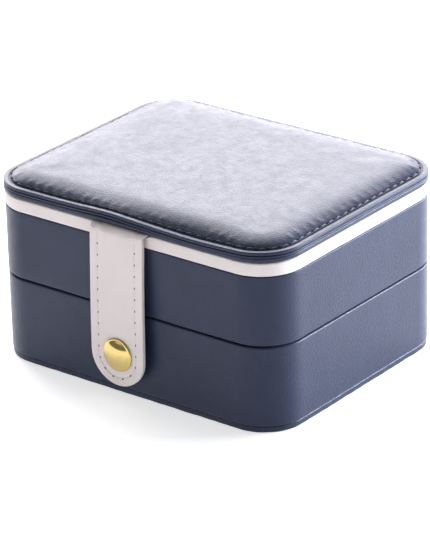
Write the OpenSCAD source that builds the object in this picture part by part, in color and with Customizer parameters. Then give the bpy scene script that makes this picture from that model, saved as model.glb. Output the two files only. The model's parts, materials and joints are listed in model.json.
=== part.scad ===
// A two-layer leather jewellery case. A lower case stands on the table, an upper case is hinged
// to the back of it, a padded lid is hinged to the back of that, and a strap at the front of
// the lid snaps onto the lower case and holds all three shut.
//
// Millimetres, +Z up, +X along the case's width, and the front of the case at -Y.
// The origin is the middle of the case's outline, on the surface that the case stands on.
// Walls are built up from the outline inwards: leather, board, then velvet lining.

/* [Case] */
// Outside width of the case
case_w = 152; // [120:1:220]
// Outside depth of the case, from front to back
case_d = 124; // [100:1:180]
// Outside radius of the upright corners
corner_r = 19; // [14:0.5:26]
// Height of the lower case's wall
lower_h = 36; // [30:1:60]
// Height of the upper case's wall, without its collar
upper_h = 31; // [30:1:60]
// Height of the cream collar on top of the upper case
collar_h = 6; // [4:0.5:12]
// Gap between the two cases
seam_gap = 0.6; // [0.4:0.1:1.2]

/* [Walls and floors] */
// Thickness of the leather
leather_t = 1.0; // [0.6:0.1:1.4]
// Thickness of the boards that the walls are made of
board_t = 2.6; // [2:0.1:4]
// Thickness of the velvet lining
lining_t = 0.8; // [0.5:0.1:1.2]
// Thickness of the board under the lower case
base_board_t = 1.8; // [1.2:0.1:3]
// How far the base stands in from the walls
base_inset = 0.4; // [0:0.1:1.5]
// Thickness of the upper case's floor board
floor_board_t = 2.2; // [1.6:0.1:3]
// Thickness of the velvet pads on the floors
floor_pad_t = 1.4; // [0.8:0.1:3]

/* [Lid] */
// Gap between the collar and the closed lid
lid_gap = 0.3; // [0.3:0.1:0.8]
// How far the lid's edge stands in from the walls; below zero it overhangs them
lid_inset = -0.4; // [-1:0.1:2]
// Thickness of the leather ply under the lid
lid_ply_t = 2.1; // [1.6:0.1:3]
// Thickness of the stitched edge of the lid's top leather
flange_t = 2.2; // [1.8:0.1:3]
// Width of the stitched edge of the lid's top leather
flange_w = 4.5; // [3:0.5:8]
// Rise of the padded top above its stitched edge
crown_h = 4.0; // [2:0.5:8]
// Width of the slope from the stitched edge to the flat of the padded top
slope_w = 14; // [8:1:20]
// Thickness of the stiff board inside the lid
lid_board_t = 1.4; // [1:0.1:1.6]
// Thickness of the velvet panel under the lid
lid_panel_t = 2.4; // [2:0.1:4]
// Play between the velvet panel and the collar around it
panel_play = 0.8; // [0.5:0.1:2]
// Width of velvet left around the mirror
mirror_margin = 24; // [14:1:30]
// Radius of the mirror's corners
mirror_r = 6; // [3:0.5:10]
// Thickness of the mirror
mirror_t = 1.6; // [1:0.1:2]
// Play around the mirror
mirror_play = 0.3; // [0.1:0.1:0.6]
// Width of the mirror's frame
frame_w = 6; // [4:0.5:10]
// Thickness of the mirror's frame
frame_t = 0.8; // [0.5:0.1:1.5]

/* [Dividers and ring rolls] */
// Thickness of the velvet dividers
divider_t = 2.8; // [2:0.1:5]
// Height of the lower case's dividers
lower_divider_h = 27; // [12:1:27]
// Height of the upper case's dividers
upper_divider_h = 22; // [12:1:24]
// Place of the lower case's long divider, towards the back from the middle
long_divider_y = 14; // [-10:1:24]
// Distance of the lower cross dividers from the middle
cross_divider_x = 24; // [14:1:34]
// Place of the divider beside the ring rolls, to the right of the middle
bay_divider_x = 4; // [-16:1:20]
// Distance of the upper cross dividers from the middle
cross_divider_y = 19; // [12:1:26]
// Height of the ring rolls
roll_h = 19; // [16:0.5:22]
// Play around each ring roll
roll_play = 0.3; // [0.3:0.1:1]

/* [Strap and snap] */
// Width of the strap
strap_w = 28; // [20:1:36]
// Place of the strap's middle, to the right of the case's middle
strap_x = -2; // [-10:0.5:10]
// Thickness of each of the strap's two plies
strap_ply_t = 1.0; // [0.8:0.1:1.4]
// Gap between the closed strap and the wall behind it
strap_gap = 3.2; // [3.2:0.1:5]
// Height of the strap's rounded end above the table
strap_end_z = 6; // [3:0.5:14]
// Inside radius of the bend where the strap leaves the lid
bend_r = 1.2; // [0.8:0.1:1.8]
// Length of strap that is glued under the lid
root_l = 9; // [6:0.5:12]
// Height of the snap's middle above the table
snap_z = 20.5; // [16:0.5:24]
// Radius of the snap's cap
cap_r = 7.5; // [5:0.25:8.5]
// Rise of the cap's dome above its rim
cap_dome_h = 1.9; // [1:0.1:3]
// Height of the cap's rim
cap_rim_h = 0.7; // [0.4:0.1:1.2]
// Radius of the snap's posts
post_r = 1.5; // [1:0.1:1.8]
// Outside radius of the snap's socket
socket_r = 5.2; // [4.4:0.1:6.5]
// Outside radius of the stud's bead
bead_r = 2.3; // [2.1:0.1:2.6]
// Height of the stud from the wall
stud_h = 2.1; // [1.8:0.1:2.4]

/* [Hinges] */
// Thickness of the leather hinges
hinge_t = 0.9; // [0.6:0.1:1.4]
// Length of hinge glued on each side of its fold
hinge_lap = 9; // [6:0.5:14]
// Length of straight wall left free at each end of a hinge
hinge_margin = 2; // [1:0.5:8]

/* [Hidden] */
$fn = 64;
HULL_FN = 32;

// The wall's build-up, as distances in from the case's outline
board_out = leather_t;
lining_out = leather_t + board_t;
room_out = lining_out + lining_t;

// Heights, from the table up
base_top = leather_t + base_board_t;
lower_top = base_top + lower_h;
upper_bottom = lower_top + seam_gap;
upper_floor_top = upper_bottom + leather_t + floor_board_t;
upper_top = upper_bottom + upper_h;
collar_top = upper_top + collar_h;
lid_bottom = collar_top + lid_gap;
flange_bottom = lid_bottom + lid_ply_t;
flange_top = flange_bottom + flange_t;
lower_room_z = base_top + floor_pad_t;
upper_room_z = upper_floor_top + floor_pad_t;

// Planes of the walls, and the room inside them
wall_front = -case_d / 2;
wall_back = case_d / 2;
room_x = case_w / 2 - room_out;
room_y = case_d / 2 - room_out;

// The padded top's profile: a quarter of an ellipse, from the stitched edge to the flat
crown_steps = 7;
crown_inset = lid_inset + flange_w;

// The panel under the lid, and the mirror in it
panel_out = room_out + panel_play;
window_out = panel_out + mirror_margin;

// The strap, and the middle of the bend that it swings about
strap_back_y = wall_front - strap_gap;
strap_mid_y = strap_back_y - strap_ply_t;
strap_front_y = strap_mid_y - strap_ply_t;
bend_y = strap_mid_y + bend_r;
bend_z = lid_bottom - strap_ply_t - bend_r;
lid_front_y = wall_front + lid_inset;
notch_z = lid_bottom - strap_ply_t - lid_gap;
notch_w = strap_w + 2 * lid_gap;

// The snap: the parts that meet inside the strap's gap
fit_play = 0.05;
stud_flange_r = socket_r - 0.6;
stud_flange_t = 0.5;
neck_r = bead_r - 0.5;
rivet_head_r = 4;
rivet_head_t = 0.7;
socket_h = strap_gap - stud_flange_t - 0.4;
socket_floor_t = 0.5;
cavity_r = bead_r + 0.4;
flare_r = post_r + 0.5;
flare_t = 0.25;

// The six ring rolls share the room to the left of their divider
roll_count = 6;
bay_w = room_x + bay_divider_x - divider_t / 2;
roll_pitch = 2 * room_y / roll_count;
roll_w = roll_pitch - 2 * roll_play;

hinge_w = case_w - 2 * (corner_r + hinge_margin);

// The case's outline, moved in by a distance
module outline(inset) {
    w = case_w - 2 * inset;
    d = case_d - 2 * inset;
    r = corner_r - inset;
    square([w - 2 * r, d], center = true);
    square([w, d - 2 * r], center = true);
    for (x = [-1, 1], y = [-1, 1])
        translate([x * (w / 2 - r), y * (d / 2 - r)]) circle(r);
}

module slab(inset, bottom, top) {
    translate([0, 0, bottom]) linear_extrude(top - bottom) outline(inset);
}

module ring(outside, inside, bottom, top) {
    translate([0, 0, bottom]) linear_extrude(top - bottom)
        difference() {
            outline(outside);
            outline(inside);
        }
}

// A plain rectangle with round corners, moved in from the mirror's window
module window(inset) {
    w = case_w - 2 * (window_out + inset);
    d = case_d - 2 * (window_out + inset);
    r = mirror_r - inset;
    square([w - 2 * r, d], center = true);
    square([w, d - 2 * r], center = true);
    for (x = [-1, 1], y = [-1, 1])
        translate([x * (w / 2 - r), y * (d / 2 - r)]) circle(r);
}

module window_slab(inset, bottom, top) {
    translate([0, 0, bottom]) linear_extrude(top - bottom) window(inset);
}

// Places a shape on the snap's axis, with its own +Z pointing away from the case
module on_snap(y) {
    translate([strap_x, y, snap_z]) rotate([90, 0, 0]) children();
}

// The dome of the padded top, moved in by a leather's thickness
module crown(skin) {
    hull()
        for (i = [0 : crown_steps]) {
            turn = 90 * i / crown_steps;
            inset = crown_inset + skin + slope_w * (1 - cos(turn));
            top = flange_top - skin + crown_h * sin(turn);
            translate([0, 0, flange_bottom]) linear_extrude(top - flange_bottom)
                outline(inset, $fn = HULL_FN);
        }
}

module base_cover() {
    color("midnightblue") {
        slab(base_inset, 0, leather_t);
        ring(base_inset, base_inset + leather_t, leather_t, base_top);
    }
}

module base_board() {
    color("tan") slab(base_inset + leather_t, leather_t, base_top);
}

// The board ring is drilled and counterbored for the rivet that holds the snap's stud
module lower_frame() {
    color("tan") difference() {
        ring(board_out, lining_out, base_top, lower_top - leather_t);
        on_snap(0) cylinder(h = case_d, r = post_r + fit_play);
        on_snap(wall_front + lining_out)
            mirror([0, 0, 1]) translate([0, 0, -rivet_head_t]) cylinder(h = case_d / 4, r = rivet_head_r);
    }
}

module lower_cover() {
    color("midnightblue") difference() {
        union() {
            ring(0, leather_t, base_top, lower_top);
            ring(leather_t, room_out, lower_top - leather_t, lower_top);
        }
        on_snap(0) cylinder(h = case_d, r = post_r + fit_play);
    }
}

module lower_lining() {
    color("cornsilk") ring(lining_out, room_out, base_top, lower_top - leather_t);
}

module lower_floor_pad() {
    color("cornsilk") slab(room_out, base_top, lower_room_z);
}

module divider(w, d, h) {
    color("cornsilk") translate([-w / 2, -d / 2, 0]) cube([w, d, h]);
}

module long_divider() {
    translate([0, long_divider_y, lower_room_z])
        divider(2 * room_x, divider_t, lower_divider_h);
}

module lower_cross_divider(side) {
    from = -room_y;
    to = long_divider_y - divider_t / 2;
    translate([side * cross_divider_x, (from + to) / 2, lower_room_z])
        divider(divider_t, to - from, lower_divider_h);
}

// The stud is a spun cup with a beaded neck, pressed over the end of its rivet
module snap_stud() {
    color("gold") on_snap(wall_front) rotate_extrude() polygon([
        [post_r + fit_play, 0], [stud_flange_r, 0], [stud_flange_r, stud_flange_t],
        [neck_r, stud_flange_t], [neck_r, stud_h * 0.5], [bead_r, stud_h * 0.65],
        [bead_r, stud_h * 0.85], [neck_r, stud_h], [0, stud_h],
        [0, stud_h * 0.8], [post_r + fit_play, stud_h * 0.8]]);
}

module stud_rivet() {
    color("gold") {
        on_snap(wall_front + lining_out) cylinder(h = lining_out + stud_h * 0.7, r = post_r);
        on_snap(wall_front + lining_out) cylinder(h = rivet_head_t, r = rivet_head_r - fit_play);
    }
}

module upper_frame() {
    color("tan") ring(board_out, lining_out, upper_bottom + leather_t, upper_top);
}

module upper_cover() {
    color("midnightblue") {
        ring(0, leather_t, upper_bottom, upper_top);
        ring(leather_t, lining_out, upper_bottom, upper_bottom + leather_t);
    }
}

module upper_underside() {
    color("cornsilk") slab(lining_out, upper_bottom, upper_bottom + leather_t);
}

module upper_floor() {
    color("tan") slab(lining_out, upper_bottom + leather_t, upper_floor_top);
}

module upper_floor_pad() {
    color("cornsilk") slab(room_out, upper_floor_top, upper_room_z);
}

module upper_lining() {
    color("cornsilk") ring(lining_out, room_out, upper_floor_top, collar_top - leather_t);
}

// The strap passes over the front of the collar in a shallow notch
module strap_notch() {
    translate([strap_x - notch_w / 2, wall_front - 1, notch_z])
        cube([notch_w, room_out + 2, collar_h]);
}

module collar_board() {
    color("tan") difference() {
        ring(board_out, lining_out, upper_top, collar_top - leather_t);
        strap_notch();
    }
}

module collar_cover() {
    color("seashell") difference() {
        union() {
            ring(0, leather_t, upper_top, collar_top);
            ring(leather_t, room_out, collar_top - leather_t, collar_top);
        }
        strap_notch();
    }
}

module bay_divider() {
    translate([bay_divider_x, 0, upper_room_z]) divider(divider_t, 2 * room_y, upper_divider_h);
}

module upper_cross_divider(side) {
    from = bay_divider_x + divider_t / 2;
    translate([(from + room_x) / 2, side * cross_divider_y, upper_room_z])
        divider(room_x - from, divider_t, upper_divider_h);
}

// Roll number i, counted from the front. The end rolls are cut to the room's round corners.
module ring_roll(i) {
    y = -room_y + (i - 0.5) * roll_pitch;
    color("cornsilk") intersection() {
        translate([-room_x + roll_play, y, upper_room_z]) rotate([90, 0, 90])
            linear_extrude(bay_w - 2 * roll_play) {
                translate([-roll_w / 2, 0]) square([roll_w, roll_h - roll_w / 2]);
                translate([0, roll_h - roll_w / 2]) circle(roll_w / 2);
            }
        slab(room_out + roll_play, upper_room_z, upper_room_z + roll_h);
    }
}

module lid_ply() {
    color("midnightblue") slab(lid_inset, lid_bottom, flange_bottom);
}

module lid_board() {
    color("tan") slab(crown_inset + leather_t, flange_bottom, flange_bottom + lid_board_t);
}

module lid_pad() {
    color("lightgrey") difference() {
        crown(leather_t);
        slab(0, 0, flange_bottom + lid_board_t);
    }
}

module lid_cover() {
    color("midnightblue") difference() {
        union() {
            slab(lid_inset, flange_bottom, flange_top);
            crown(0);
        }
        crown(leather_t);
        slab(crown_inset + leather_t, flange_bottom - 1, flange_bottom + lid_board_t);
    }
}

module lid_panel() {
    color("cornsilk") difference() {
        slab(panel_out, lid_bottom - lid_panel_t, lid_bottom);
        window_slab(0, lid_bottom - lid_panel_t - 1, lid_bottom + 1);
        translate([strap_x - notch_w / 2, wall_front, notch_z])
            cube([notch_w, lid_inset + root_l + 1, collar_h]);
    }
}

module mirror_glass() {
    color("lightsteelblue") window_slab(mirror_play, lid_bottom - mirror_t, lid_bottom);
}

module mirror_frame() {
    color("seashell") translate([0, 0, lid_bottom - lid_panel_t - frame_t]) linear_extrude(frame_t)
        difference() {
            window(-frame_w / 2);
            window(frame_w / 2);
        }
}

// The strap's front ply alone runs on under the lid, where it is glued
module strap_root() {
    color("seashell")
        translate([strap_x - strap_w / 2, lid_front_y, lid_bottom - strap_ply_t])
            cube([strap_w, root_l, strap_ply_t]);
}

// From the lid's edge the ply runs out level, then turns down round the bend
module strap_neck() {
    color("seashell") {
        translate([strap_x - strap_w / 2, bend_y, lid_bottom - strap_ply_t])
            cube([strap_w, lid_front_y - bend_y, strap_ply_t]);
        translate([strap_x, bend_y, bend_z]) rotate([0, 90, 0]) intersection() {
            difference() {
                cylinder(h = strap_w, r = bend_r + strap_ply_t, center = true);
                cylinder(h = strap_w + 1, r = bend_r, center = true);
            }
            translate([-strap_w, -strap_w, -strap_w]) cube([strap_w, strap_w, 2 * strap_w]);
        }
    }
}

module strap_ply(y) {
    end_r = strap_w / 2;
    color("seashell") difference() {
        translate([strap_x, y, 0]) rotate([90, 0, 0]) linear_extrude(strap_ply_t) {
            translate([-end_r, strap_end_z + end_r]) square([strap_w, bend_z - strap_end_z - end_r]);
            translate([0, strap_end_z + end_r]) circle(end_r);
        }
        on_snap(0) cylinder(h = case_d, r = post_r + fit_play);
    }
}

module snap_cap() {
    dome_r = (cap_r * cap_r + cap_dome_h * cap_dome_h) / (2 * cap_dome_h);
    color("gold") on_snap(strap_front_y) {
        cylinder(h = cap_rim_h, r = cap_r);
        intersection() {
            translate([0, 0, cap_rim_h + cap_dome_h - dome_r]) sphere(dome_r, $fn = 128);
            cylinder(h = cap_rim_h + cap_dome_h, r = cap_r);
        }
        mirror([0, 0, 1]) cylinder(h = 2 * strap_ply_t + socket_floor_t, r = post_r);
        mirror([0, 0, 1]) translate([0, 0, 2 * strap_ply_t + socket_floor_t])
            cylinder(h = flare_t, r = flare_r);
    }
}

module snap_socket() {
    color("gold") on_snap(strap_back_y) mirror([0, 0, 1]) difference() {
        union() {
            cylinder(h = socket_h * 0.4, r = socket_r);
            cylinder(h = socket_h, r = socket_r - 0.8);
        }
        translate([0, 0, socket_floor_t]) cylinder(h = socket_h, r = cavity_r);
        translate([0, 0, -1]) cylinder(h = socket_h, r = post_r + fit_play);
    }
}

module lower_hinge() {
    z = (lower_top + upper_bottom) / 2;
    color("midnightblue") translate([-hinge_w / 2, wall_back, z - hinge_lap])
        cube([hinge_w, hinge_t, 2 * hinge_lap]);
}

// The hinge is cranked above the fold, to follow the lid's edge
module lid_hinge() {
    color("midnightblue") translate([-hinge_w / 2, 0, 0]) rotate([90, 0, 90])
        linear_extrude(hinge_w) polygon([
            [wall_back, collar_top - hinge_lap], [wall_back + hinge_t, collar_top - hinge_lap],
            [wall_back + hinge_t, collar_top], [wall_back + hinge_t - lid_inset, lid_bottom + abs(lid_inset)],
            [wall_back + hinge_t - lid_inset, flange_top], [wall_back - lid_inset, flange_top],
            [wall_back - lid_inset, lid_bottom], [wall_back, collar_top]]);
}

base_cover();
base_board();
lower_frame();
lower_cover();
lower_lining();
lower_floor_pad();
long_divider();
lower_cross_divider(-1);  // cross_divider_left
lower_cross_divider(1);  // cross_divider_right
snap_stud();
stud_rivet();
upper_frame();
upper_cover();
upper_underside();
upper_floor();
upper_floor_pad();
upper_lining();
collar_board();
collar_cover();
bay_divider();
upper_cross_divider(-1);  // cross_divider_front
upper_cross_divider(1);  // cross_divider_back
ring_roll(1);  // ring_roll_1
ring_roll(2);  // ring_roll_2
ring_roll(3);  // ring_roll_3
ring_roll(4);  // ring_roll_4
ring_roll(5);  // ring_roll_5
ring_roll(6);  // ring_roll_6
lid_ply();
lid_board();
lid_pad();
lid_cover();
lid_panel();
mirror_glass();  // mirror
mirror_frame();
strap_root();
strap_neck();
strap_ply(strap_mid_y);  // strap_front
strap_ply(strap_back_y);  // strap_back
snap_cap();
snap_socket();
lower_hinge();
lid_hinge();
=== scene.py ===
import json
import math

import bmesh
import bpy
import numpy as np
from mathutils import Matrix, Vector, noise
from mathutils.bvhtree import BVHTree


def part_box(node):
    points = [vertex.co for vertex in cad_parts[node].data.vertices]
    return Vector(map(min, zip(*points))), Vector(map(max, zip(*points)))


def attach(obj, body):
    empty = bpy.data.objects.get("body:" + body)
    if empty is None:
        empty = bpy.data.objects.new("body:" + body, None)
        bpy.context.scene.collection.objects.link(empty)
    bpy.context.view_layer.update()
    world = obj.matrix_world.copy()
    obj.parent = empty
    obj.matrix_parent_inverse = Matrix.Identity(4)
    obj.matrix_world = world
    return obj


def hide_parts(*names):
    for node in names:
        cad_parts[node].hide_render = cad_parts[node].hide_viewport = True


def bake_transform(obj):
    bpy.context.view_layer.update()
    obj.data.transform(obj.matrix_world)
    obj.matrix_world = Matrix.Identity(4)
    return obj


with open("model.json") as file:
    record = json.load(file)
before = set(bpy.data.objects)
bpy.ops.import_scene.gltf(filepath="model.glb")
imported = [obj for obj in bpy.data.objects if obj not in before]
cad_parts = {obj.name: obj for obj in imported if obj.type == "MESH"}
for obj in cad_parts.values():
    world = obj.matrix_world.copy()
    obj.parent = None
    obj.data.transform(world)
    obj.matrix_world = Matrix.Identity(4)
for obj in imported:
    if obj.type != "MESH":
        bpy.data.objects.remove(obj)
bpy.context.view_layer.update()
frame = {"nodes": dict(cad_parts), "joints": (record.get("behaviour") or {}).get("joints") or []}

MM = 0.001

# -------- sizes of the case
lower_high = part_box("lower_cover")[1]
ply_low, ply_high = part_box("lid_ply")
base_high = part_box("base_cover")[1]
strap_low, strap_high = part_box("strap_front")
cap_low, cap_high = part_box("snap_cap")

CASE_W = 2 * lower_high.x
CASE_D = 2 * lower_high.y
CORNER_R = 19 * MM
WINDOW_R = 6 * MM
LEATHER = 1.0 * MM
BOARD = 2.6 * MM
LINING = 0.8 * MM
ROOM_IN = LEATHER + BOARD + LINING
BASE_IN = CASE_W / 2 - base_high.x
LID_IN = CASE_W / 2 - ply_high.x

BASE_TOP = base_high.z
UPPER_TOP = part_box("upper_cover")[1].z
COLLAR_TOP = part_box("collar_cover")[1].z
LID_BOTTOM = ply_low.z
PLY_TOP = ply_high.z
FLANGE = 2.2 * MM
FLANGE_TOP = PLY_TOP + FLANGE
CROWN_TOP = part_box("lid_cover")[1].z
CROWN_IN = LID_IN + 4.5 * MM
SLOPE_W = 11.5 * MM

STRAP_X = (strap_low.x + strap_high.x) / 2
STRAP_W = strap_high.x - strap_low.x
PLY_T = strap_high.y - strap_low.y
STRAP_END = strap_low.z
STRAP_FRONT = strap_low.y
SNAP_Z = (cap_low.z + cap_high.z) / 2
CAP_R = (cap_high.x - cap_low.x) / 2
STITCH_PITCH = 5.1 * MM

# -------- outlines and meshes
CORNER_STEPS = 14
ROUND_STEPS = 5
SIDE_STEP = 1.7 * MM


def outline(inset):
    """Points round the case's outline, moved in by inset."""
    radius = min(max(CORNER_R - inset, WINDOW_R), CASE_D / 2 - inset)
    half = np.array([CASE_W / 2 - inset - radius, CASE_D / 2 - inset - radius])
    sides = [round((size - 2 * CORNER_R) / SIDE_STEP) for size in (CASE_D, CASE_W)] * 2
    places = []
    signs = np.array([(1, -1), (1, 1), (-1, 1), (-1, -1)])
    for corner, steps in enumerate(sides):
        turns = np.radians(90 * (corner - 1) + np.linspace(0, 90, CORNER_STEPS + 1))
        arc = np.stack([np.cos(turns), np.sin(turns)], axis=1)
        places.extend(signs[corner] * half + radius * arc)
        leaving = signs[corner] * half + radius * arc[-1]
        arriving = signs[(corner + 1) % 4] * half + radius * arc[-1]
        for share in np.arange(1, steps) / steps:
            places.append((1 - share) * leaving + share * arriving)
    return np.array(places)


def level_loop(inset, height, every=1):
    """The outline moved in by inset, at one height, with one point kept in every few."""
    places = outline(inset)[::every]
    return np.column_stack([places, np.full(len(places), height)])


def linked(name, data):
    """A new object in the scene."""
    made = bpy.data.objects.new(name, data)
    bpy.context.scene.collection.objects.link(made)
    return made


def smooth_piece(name, mesh, material):
    """A smooth-shaded piece in one material."""
    mesh.shade_smooth()
    mesh.materials.append(material)
    return linked(name, mesh)


def mesh_piece(name, places, faces, material):
    """A smooth-shaded piece whose faces point outwards."""
    mesh = bpy.data.meshes.new(name)
    mesh.from_pydata([tuple(p) for p in places], [], [tuple(int(i) for i in f) for f in faces])
    grown = bmesh.new()
    grown.from_mesh(mesh)
    bmesh.ops.remove_doubles(grown, verts=grown.verts, dist=1e-6)
    bmesh.ops.dissolve_degenerate(grown, edges=grown.edges, dist=1e-7)
    bmesh.ops.recalc_face_normals(grown, faces=grown.faces)
    grown.to_mesh(mesh)
    grown.free()
    return smooth_piece(name, mesh, material)


def loop_faces(count, rows, closed=False):
    """Faces from each loop of count points to the next, and from the last to the first if closed."""
    faces = []
    for row in range(rows if closed else rows - 1):
        here, there = row * count, (row + 1) % rows * count
        for i in range(count):
            j = (i + 1) % count
            faces.append((here + i, here + j, there + j, there + i))
    return faces


def skin(name, rows, material, closed):
    """Joins loops of points into a skin: a tube if closed, else a solid with its ends filled."""
    count = len(rows[0])
    faces = loop_faces(count, len(rows), closed)
    if not closed:
        faces += [range(count), range((len(rows) - 1) * count, len(rows) * count)]
    return mesh_piece(name, np.concatenate(rows), faces, material)


def rounded(corners, closed=True):
    """A profile through corners, each (inset, height, radius) in millimetres, in metres."""
    profile = []
    for i, (inset, height, radius) in enumerate(corners):
        corner = np.array([inset, height])
        if radius == 0 or (not closed and i in (0, len(corners) - 1)):
            profile.append(corner)
            continue
        before = np.array(corners[i - 1][:2]) - corner
        after = np.array(corners[(i + 1) % len(corners)][:2]) - corner
        before, after = before / np.linalg.norm(before), after / np.linalg.norm(after)
        reach = radius / math.tan(math.acos(np.clip(before @ after, -1, 1)) / 2)
        for t in np.linspace(0, 1, ROUND_STEPS + 1):
            away = (1 - t) ** 2 * before + t**2 * after
            profile.append(corner + reach * away)
    return [point * MM for point in profile]


def divided(profile, longest, closed=True):
    """The same profile with no step longer than longest."""
    made = []
    for i, point in enumerate(profile):
        made.append(point)
        if i == len(profile) - 1 and not closed:
            break
        step = profile[(i + 1) % len(profile)] - point
        parts = math.ceil(np.linalg.norm(step) / longest)
        made.extend(point + step * k / parts for k in range(1, parts))
    return made


def profile_of(corners, longest, closed=True):
    """A rounded profile with no long steps, as pairs of inset and height."""
    return divided(rounded(corners, closed), longest, closed)


def swept(name, corners, longest, material, closed=True):
    """A skin whose profile, through corners, runs all the way round the outline."""
    profile = profile_of(corners, longest, closed)
    return skin(name, [level_loop(inset, height) for inset, height in profile], material, closed)


def coordinates(piece):
    """Where each of a piece's points is."""
    return np.array([v.co for v in piece.data.vertices])


def place(piece, points):
    """Moves each of a piece's points to its place in a list."""
    piece.data.vertices.foreach_set("co", np.asarray(points, np.float32).ravel())
    piece.data.update()


def pushed(piece, amounts):
    """Moves a piece's points along their normals."""
    normals = np.array([v.normal for v in piece.data.vertices])
    place(piece, coordinates(piece) + normals * np.reshape(amounts, (-1, 1)))


def rumpled(piece, size, depth, seed):
    """Moves the surface in and out by up to depth, in soft waves about as long as size."""
    offset = Vector((seed * 3.7, seed * 1.3, seed * 2.1))
    waves = [noise.noise(Vector(p) / size + offset) for p in coordinates(piece)]
    pushed(piece, depth * np.array(waves))


def dressed(piece, body, slot, *nodes):
    """Puts a piece on its body, in place of its CAD nodes."""
    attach(piece, body)
    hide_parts(*nodes)


# -------- materials
def add_node(tree, kind, inputs=None, **settings):
    """Adds a node, with each input given a number or linked from a socket. Returns its outputs."""
    node = tree.nodes.new(kind)
    for name, value in settings.items():
        setattr(node, name, value)
    for key, value in (inputs or {}).items():
        if isinstance(value, bpy.types.NodeSocket):
            tree.links.new(value, node.inputs[key])
        else:
            node.inputs[key].default_value = value
    return node.outputs


class Finish:
    """A node material under construction, in the piece's own Object coordinates."""

    def __init__(self, name, **constants):
        self.material = bpy.data.materials.new(name)
        self.material.use_nodes = True
        self.tree = self.material.node_tree
        self.shader = self.tree.nodes["Principled BSDF"]
        self.where = add_node(self.tree, "ShaderNodeTexCoord")["Object"]
        self.normal = None
        for socket, value in constants.items():
            self.shader.inputs[socket.replace("_", " ")].default_value = value

    def noise(self, scale, detail=3.0, roughness=0.5, stretch=(1, 1, 1)):
        """Soft noise, stretched along the three axes."""
        at = add_node(self.tree, "ShaderNodeMapping", {"Vector": self.where, "Scale": stretch})
        inputs = {"Vector": at["Vector"], "Scale": scale, "Detail": detail, "Roughness": roughness}
        return add_node(self.tree, "ShaderNodeTexNoise", inputs)["Fac"]

    def cells(self, scale):
        """Distance from the middle of the nearest cell."""
        inputs = {"Vector": self.where, "Scale": scale}
        return add_node(self.tree, "ShaderNodeTexVoronoi", inputs)["Distance"]

    def mapped(self, value, low, high, to_low=0.0, to_high=1.0):
        """A value's stretch from low to high, spread from to_low to to_high."""
        inputs = {"Value": value, "From Min": low, "From Max": high, "To Min": to_low, "To Max": to_high}
        return add_node(self.tree, "ShaderNodeMapRange", inputs)["Result"]

    def ramp(self, value, *stops):
        """A colour ramp through stops, each (place, colour)."""
        node = self.tree.nodes.new("ShaderNodeValToRGB")
        while len(node.color_ramp.elements) < len(stops):
            node.color_ramp.elements.new(0.5)
        for element, (at, colour) in zip(node.color_ramp.elements, stops):
            element.position = at
            element.color = (*colour, 1)
        self.tree.links.new(value, node.inputs["Fac"])
        return node.outputs["Color"]

    def mixed(self, share, first, second):
        """Mixes two colours, each a socket or three numbers, by share."""
        inputs = {"Factor": share}
        for key, colour in ((6, first), (7, second)):
            inputs[key] = (*colour, 1) if isinstance(colour, tuple) else colour
        return add_node(self.tree, "ShaderNodeMix", inputs, data_type="RGBA")[2]

    def bump(self, height, distance, strength=1.0):
        """Adds relief, distance deep, on top of any that is already there."""
        inputs = {"Height": height, "Distance": distance, "Strength": strength}
        if self.normal is not None:
            inputs["Normal"] = self.normal
        self.normal = add_node(self.tree, "ShaderNodeBump", inputs)["Normal"]

    def set(self, socket, value):
        """Feeds a value to one of the shader's inputs."""
        self.tree.links.new(value, self.shader.inputs[socket])

    def done(self):
        """The finished material."""
        if self.normal is not None:
            self.set("Normal", self.normal)
        return self.material


def leather(name, colour, deep, worn, rough, sheen=0.0, tint=(1, 1, 1)):
    """Smooth coated leather: fine pebbled grain, soft mottling and slight rubbing."""
    finish = Finish(name, IOR=1.39, Specular_Tint=(*tint, 1), Sheen_Weight=sheen,
                    Sheen_Roughness=0.45, Sheen_Tint=(*tint, 1))
    mottle = finish.mapped(finish.noise(55, 4, 0.6), 0.3, 0.7)
    pores = finish.mapped(finish.cells(1250), 0.0, 0.6)
    base = finish.mixed(mottle, deep, colour)
    rubbed = finish.ramp(finish.noise(18, 5, 0.65), (0.55, (0, 0, 0)), (0.8, (0.15, 0.15, 0.15)))
    finish.set("Base Color", finish.mixed(rubbed, base, worn))
    wear = finish.noise(240, 3, 0.6)
    finish.set("Roughness", finish.mapped(wear, 0.3, 0.7, rough - 0.05, rough + 0.06))
    finish.bump(finish.noise(90, 3, 0.5), 0.02 * MM, 0.1)
    finish.bump(finish.noise(700, 4, 0.65), 0.06 * MM, 0.6)
    finish.bump(pores, 0.07 * MM, 0.8)
    finish.bump(finish.noise(5200, 2, 0.5), 0.006 * MM, 0.8)
    return finish.done()


def velvet(name, colour, shade):
    """Short-pile velvet: a soft sheen, with the pile brushed in patches."""
    finish = Finish(name, Roughness=0.92, Sheen_Weight=0.55, Sheen_Roughness=0.45)
    finish.shader.inputs["Specular IOR Level"].default_value = 0.15
    finish.shader.inputs["Sheen Tint"].default_value = (1.0, 0.97, 0.92, 1)
    brushed = finish.mapped(finish.noise(45, 4, 0.6, (1, 1.8, 1)), 0.3, 0.7)
    pile = finish.mapped(finish.noise(2600, 3, 0.7), 0.35, 0.65)
    finish.set("Base Color", finish.mixed(pile, finish.mixed(brushed, shade, colour), colour))
    finish.bump(finish.noise(2600, 3, 0.7), 0.12 * MM, 0.7)
    finish.bump(finish.noise(45, 4, 0.6, (1, 1.8, 1)), 0.3 * MM, 0.4)
    return finish.done()


def thread(name, colour, shade):
    """Waxed thread: fine twisted plies."""
    finish = Finish(name, Roughness=0.5, Sheen_Weight=0.2)
    plies = finish.noise(3800, 2, 0.5, (1, 1, 2.2))
    finish.set("Base Color", finish.mixed(plies, shade, colour))
    finish.bump(plies, 0.08 * MM)
    return finish.done()


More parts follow.
